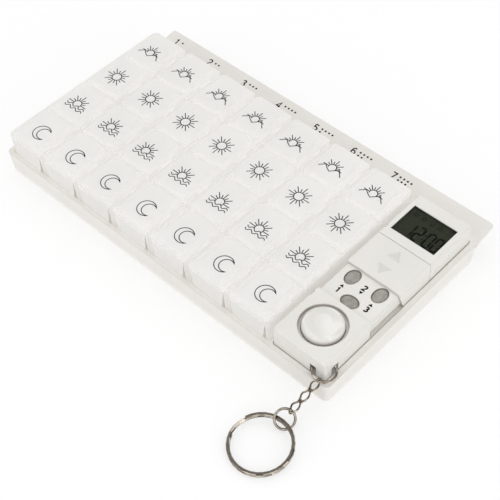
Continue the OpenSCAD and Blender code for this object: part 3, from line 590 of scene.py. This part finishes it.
DAY_LEFT = 7.5
DAY_FROM_EDGE = 5.8
DAY_NUMBER_H = 3.9
DAY_STROKE = 0.72
DOTS_RIGHT = 3.8
DOTS_IN_ROW = 4
DOT_STEP = 2.4
DOT_ROW_STEP = 2.2
DOT_R = 0.6


def day_dots(day):
    dots = Strokes()
    for i in range(day):
        row = i // DOTS_IN_ROW
        dots.dot((DOT_STEP * (i % DOTS_IN_ROW), DOT_ROW_STEP / 2 - DOT_ROW_STEP * row), DOT_R)
    return dots


def print_days(materials):
    flange_edge = in_mm(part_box("tray"))[1]
    y = flange_edge.y - DAY_FROM_EDGE
    z = flange_edge.z - FLANGE_SLOPE * DAY_FROM_EDGE
    tip = math.degrees(math.atan(FLANGE_SLOPE))
    ink = materials["ink"]
    for day in range(1, STRIP_COUNT + 1):
        low, high = in_mm(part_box(f"strip_{day}"))
        x = (low.x + high.x) / 2 - DAY_LEFT
        number = plain_number(day, DAY_NUMBER_H, DAY_STROKE)
        number.place(f"day_number_{day}", ink, (x, y, z), "tray_body", tip=tip)
        day_dots(day).place(f"day_dots_{day}", ink, (x + DOTS_RIGHT, y, z), "tray_body", tip=tip)


# Display digits of straight segments, with a colon and a row of small circles above them

SEGMENTS = {0: "abcdef", 1: "bc", 2: "abdeg"}
TIME_DIGITS = (1, 2, 0, 0)
DIGIT_PLACES = (0, 4.9, 11.3, 16.2)
DIGIT_W = 3.3
DIGIT_H = 9.4
SEGMENT_W = 1.15
SEGMENT_GAP = 0.35
TIME_LEFT = 6.3
TIME_UP = 2.6
COLON_X = 9.75
COLON_HEIGHTS = (3.1, 6.3)
COLON_R = 0.5
CIRCLE_COUNT = 4
CIRCLE_STEP = 4.9
CIRCLE_START = -2
CIRCLE_R = 1.0
CIRCLE_STROKE = 0.35
CIRCLES_DOWN = 4


def segment_ends(letter):
    """Both ends of a segment; a is the top one, then clockwise to f, and g is the middle one."""
    low, middle, high = 0, DIGIT_H / 2, DIGIT_H
    right, gap = DIGIT_W, SEGMENT_GAP
    return {
        "a": ((gap, high), (right - gap, high)),
        "b": ((right, high - gap), (right, middle + gap)),
        "c": ((right, middle - gap), (right, low + gap)),
        "d": ((gap, low), (right - gap, low)),
        "e": ((0, middle - gap), (0, low + gap)),
        "f": ((0, high - gap), (0, middle + gap)),
        "g": ((gap, middle), (right - gap, middle)),
    }[letter]


def time_shape():
    shape = Strokes()
    for place, digit in zip(DIGIT_PLACES, TIME_DIGITS):
        for letter in SEGMENTS[digit]:
            shape.line([(x + place, y) for x, y in segment_ends(letter)], SEGMENT_W)
    for y in COLON_HEIGHTS:
        shape.dot((COLON_X, y), COLON_R)
    return shape


def circle_row():
    row = Strokes()
    for i in range(CIRCLE_COUNT):
        row.circle((CIRCLE_STEP * i + CIRCLE_START, 0), CIRCLE_R, CIRCLE_STROKE, steps=16)
    return row


def print_display(materials):
    low, high = in_mm(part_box("lcd_panel"))
    x = low.x + TIME_LEFT
    segment = materials["segment"]
    time_shape().place("display_time", segment, (x, low.y + TIME_UP, high.z), "timer_body")
    circle_row().place("display_alarm_marks", segment, (x, high.y - CIRCLES_DOWN, high.z), "timer_body")


# Marks beside the small buttons: a triangle that points at the button, and a plain number

BUTTON_MARKS = (
    ("hour_button", -0.4, -7.2),
    ("set_button", 0.4, 7.4),
    ("minute_button", 0.4, -7.2),
)
POINTER_HALF_W = 1.15
POINTER_TAIL = 0.8
POINTER_TIP = 0.9
BUTTON_NUMBER_H = 2.9
BUTTON_NUMBER_STROKE = 0.8
NUMBER_FROM_POINTER = 3.3


def print_button_marks(materials):
    """The marks stand aside from and away from each button's middle, in the order of their numbers."""
    panel_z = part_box("hour_button")[1].z / MM + PANEL_ABOVE_BUTTON
    ink = materials["ink"]
    for number, (node, aside, away) in enumerate(BUTTON_MARKS, start=1):
        low, high = in_mm(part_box(node))
        x = (low.x + high.x) / 2 + aside
        y = (low.y + high.y) / 2 + away
        towards = 1 if away < 0 else -1
        tail = -POINTER_TAIL * towards
        pointer = Strokes()
        pointer.polygon([(-POINTER_HALF_W, tail), (POINTER_HALF_W, tail), (0, POINTER_TIP * towards)])
        pointer.place(f"{node}_arrow", ink, (x, y, panel_z), "timer_body")
        figure = plain_number(number, BUTTON_NUMBER_H, BUTTON_NUMBER_STROKE)
        figure_y = y - NUMBER_FROM_POINTER * towards
        figure.place(f"{node}_number", ink, (x, figure_y, panel_z), "timer_body")


# Floor and light, in metres and watts

FLOOR_HALF = 3.0
SEEN_WHITE = 0.6
SKY_STRENGTH = 0.85
PATCH_SCALE = 2.6
PATCH_EDGE = (0.48, 0.55)
PATCH_DARK = 0.02
PATCH_BRIGHT = 2.2
LIGHT_AIM = (0, 0, 0.015)


def make_floor():
    data = bpy.data.meshes.new("floor")
    corners = [(x * FLOOR_HALF, y * FLOOR_HALF, 0) for x, y in ((-1, -1), (1, -1), (1, 1), (-1, 1))]
    data.from_pydata(corners, [], [(0, 1, 2, 3)])
    floor = add_to_scene(bpy.data.objects.new("floor", data))
    paint = Paint("floor")
    paint.rough(paint.noise(scale=4), low=0.6, high=0.7)
    paint.set(Base_Color=(0.95, 0.95, 0.95), Specular_IOR_Level=0.1)
    lighten_seen_floor(paint)
    floor.data.materials.append(paint.material)


def lighten_seen_floor(paint):
    """Where the floor is seen, in the picture, a mirror or through glass, most of it is plain white."""
    path = paint.nodes.new("ShaderNodeLightPath")
    seen = path.outputs["Is Camera Ray"]
    for kind in ("Is Glossy Ray", "Is Transmission Ray"):
        either = paint.nodes.new("ShaderNodeMath")
        either.operation = "MAXIMUM"
        paint.links.new(seen, either.inputs[0])
        paint.links.new(path.outputs[kind], either.inputs[1])
        seen = either.outputs[0]
    share = paint.nodes.new("ShaderNodeMath")
    share.operation = "MULTIPLY"
    share.inputs[1].default_value = SEEN_WHITE
    white = paint.nodes.new("ShaderNodeEmission")
    mix = paint.nodes.new("ShaderNodeMixShader")
    paint.links.new(seen, share.inputs[0])
    paint.links.new(share.outputs[0], mix.inputs["Fac"])
    paint.links.new(paint.shader.outputs["BSDF"], mix.inputs[1])
    paint.links.new(white.outputs["Emission"], mix.inputs[2])
    paint.links.new(mix.outputs["Shader"], paint.out.inputs["Surface"])


def area_light(name, place, size, power):
    data = bpy.data.lights.new(name, "AREA")
    data.shape = "RECTANGLE"
    data.size, data.size_y = size
    data.energy = power
    lamp = add_to_scene(bpy.data.objects.new(name, data))
    lamp.location = place
    lamp.rotation_euler = (Vector(LIGHT_AIM) - Vector(place)).to_track_quat("-Z", "Y").to_euler()


def make_lights():
    area_light("over", place=(-0.25, 0.35, 1.1), size=(1.2, 1.2), power=2)
    area_light("near left", place=(-0.3, -1.1, 0.5), size=(1.0, 0.8), power=2)
    area_light("right", place=(1.1, -0.1, 0.5), size=(0.8, 0.9), power=2.5)


def even_background(nodes, strength):
    background = nodes.new("ShaderNodeBackground")
    background.inputs["Color"].default_value = (1, 1, 1, 1)
    background.inputs["Strength"].default_value = strength
    return background


def studio_patches(nodes, links, path, sky):
    """What glossy surfaces mirror: bright soft boxes with dark parts of the room between them."""
    room = nodes.new("ShaderNodeTexCoord")
    patches = nodes.new("ShaderNodeTexNoise")
    patches.inputs["Scale"].default_value = PATCH_SCALE
    patches.inputs["Detail"].default_value = 0
    links.new(room.outputs["Generated"], patches.inputs["Vector"])
    steps = nodes.new("ShaderNodeMapRange")
    steps.inputs["From Min"].default_value = PATCH_EDGE[0]
    steps.inputs["From Max"].default_value = PATCH_EDGE[1]
    steps.inputs["To Min"].default_value = PATCH_DARK
    steps.inputs["To Max"].default_value = PATCH_BRIGHT
    links.new(patches.outputs["Fac"], steps.inputs["Value"])
    choose = nodes.new("ShaderNodeMix")
    choose.inputs["A"].default_value = SKY_STRENGTH
    links.new(path.outputs["Is Glossy Ray"], choose.inputs["Factor"])
    links.new(steps.outputs["Result"], choose.inputs["B"])
    links.new(choose.outputs["Result"], sky.inputs["Strength"])


def make_world():
    world = bpy.data.worlds.new("world")
    bpy.context.scene.world = world
    world.use_nodes = True
    nodes, links = world.node_tree.nodes, world.node_tree.links
    nodes.clear()
    out = nodes.new("ShaderNodeOutputWorld")
    sky = even_background(nodes, SKY_STRENGTH)
    seen_white = even_background(nodes, 1)
    path = nodes.new("ShaderNodeLightPath")
    mix = nodes.new("ShaderNodeMixShader")
    studio_patches(nodes, links, path, sky)
    links.new(path.outputs["Is Camera Ray"], mix.inputs["Fac"])
    links.new(sky.outputs["Background"], mix.inputs[1])
    links.new(seen_white.outputs["Background"], mix.inputs[2])
    links.new(mix.outputs["Shader"], out.inputs["Surface"])


bpy.context.scene.view_settings.view_transform = "Standard"
make_camera()
materials = make_materials()
dress_frame(materials)
print_lids(materials)
print_days(materials)
print_display(materials)
print_button_marks(materials)
make_floor()
make_world()
make_lights()
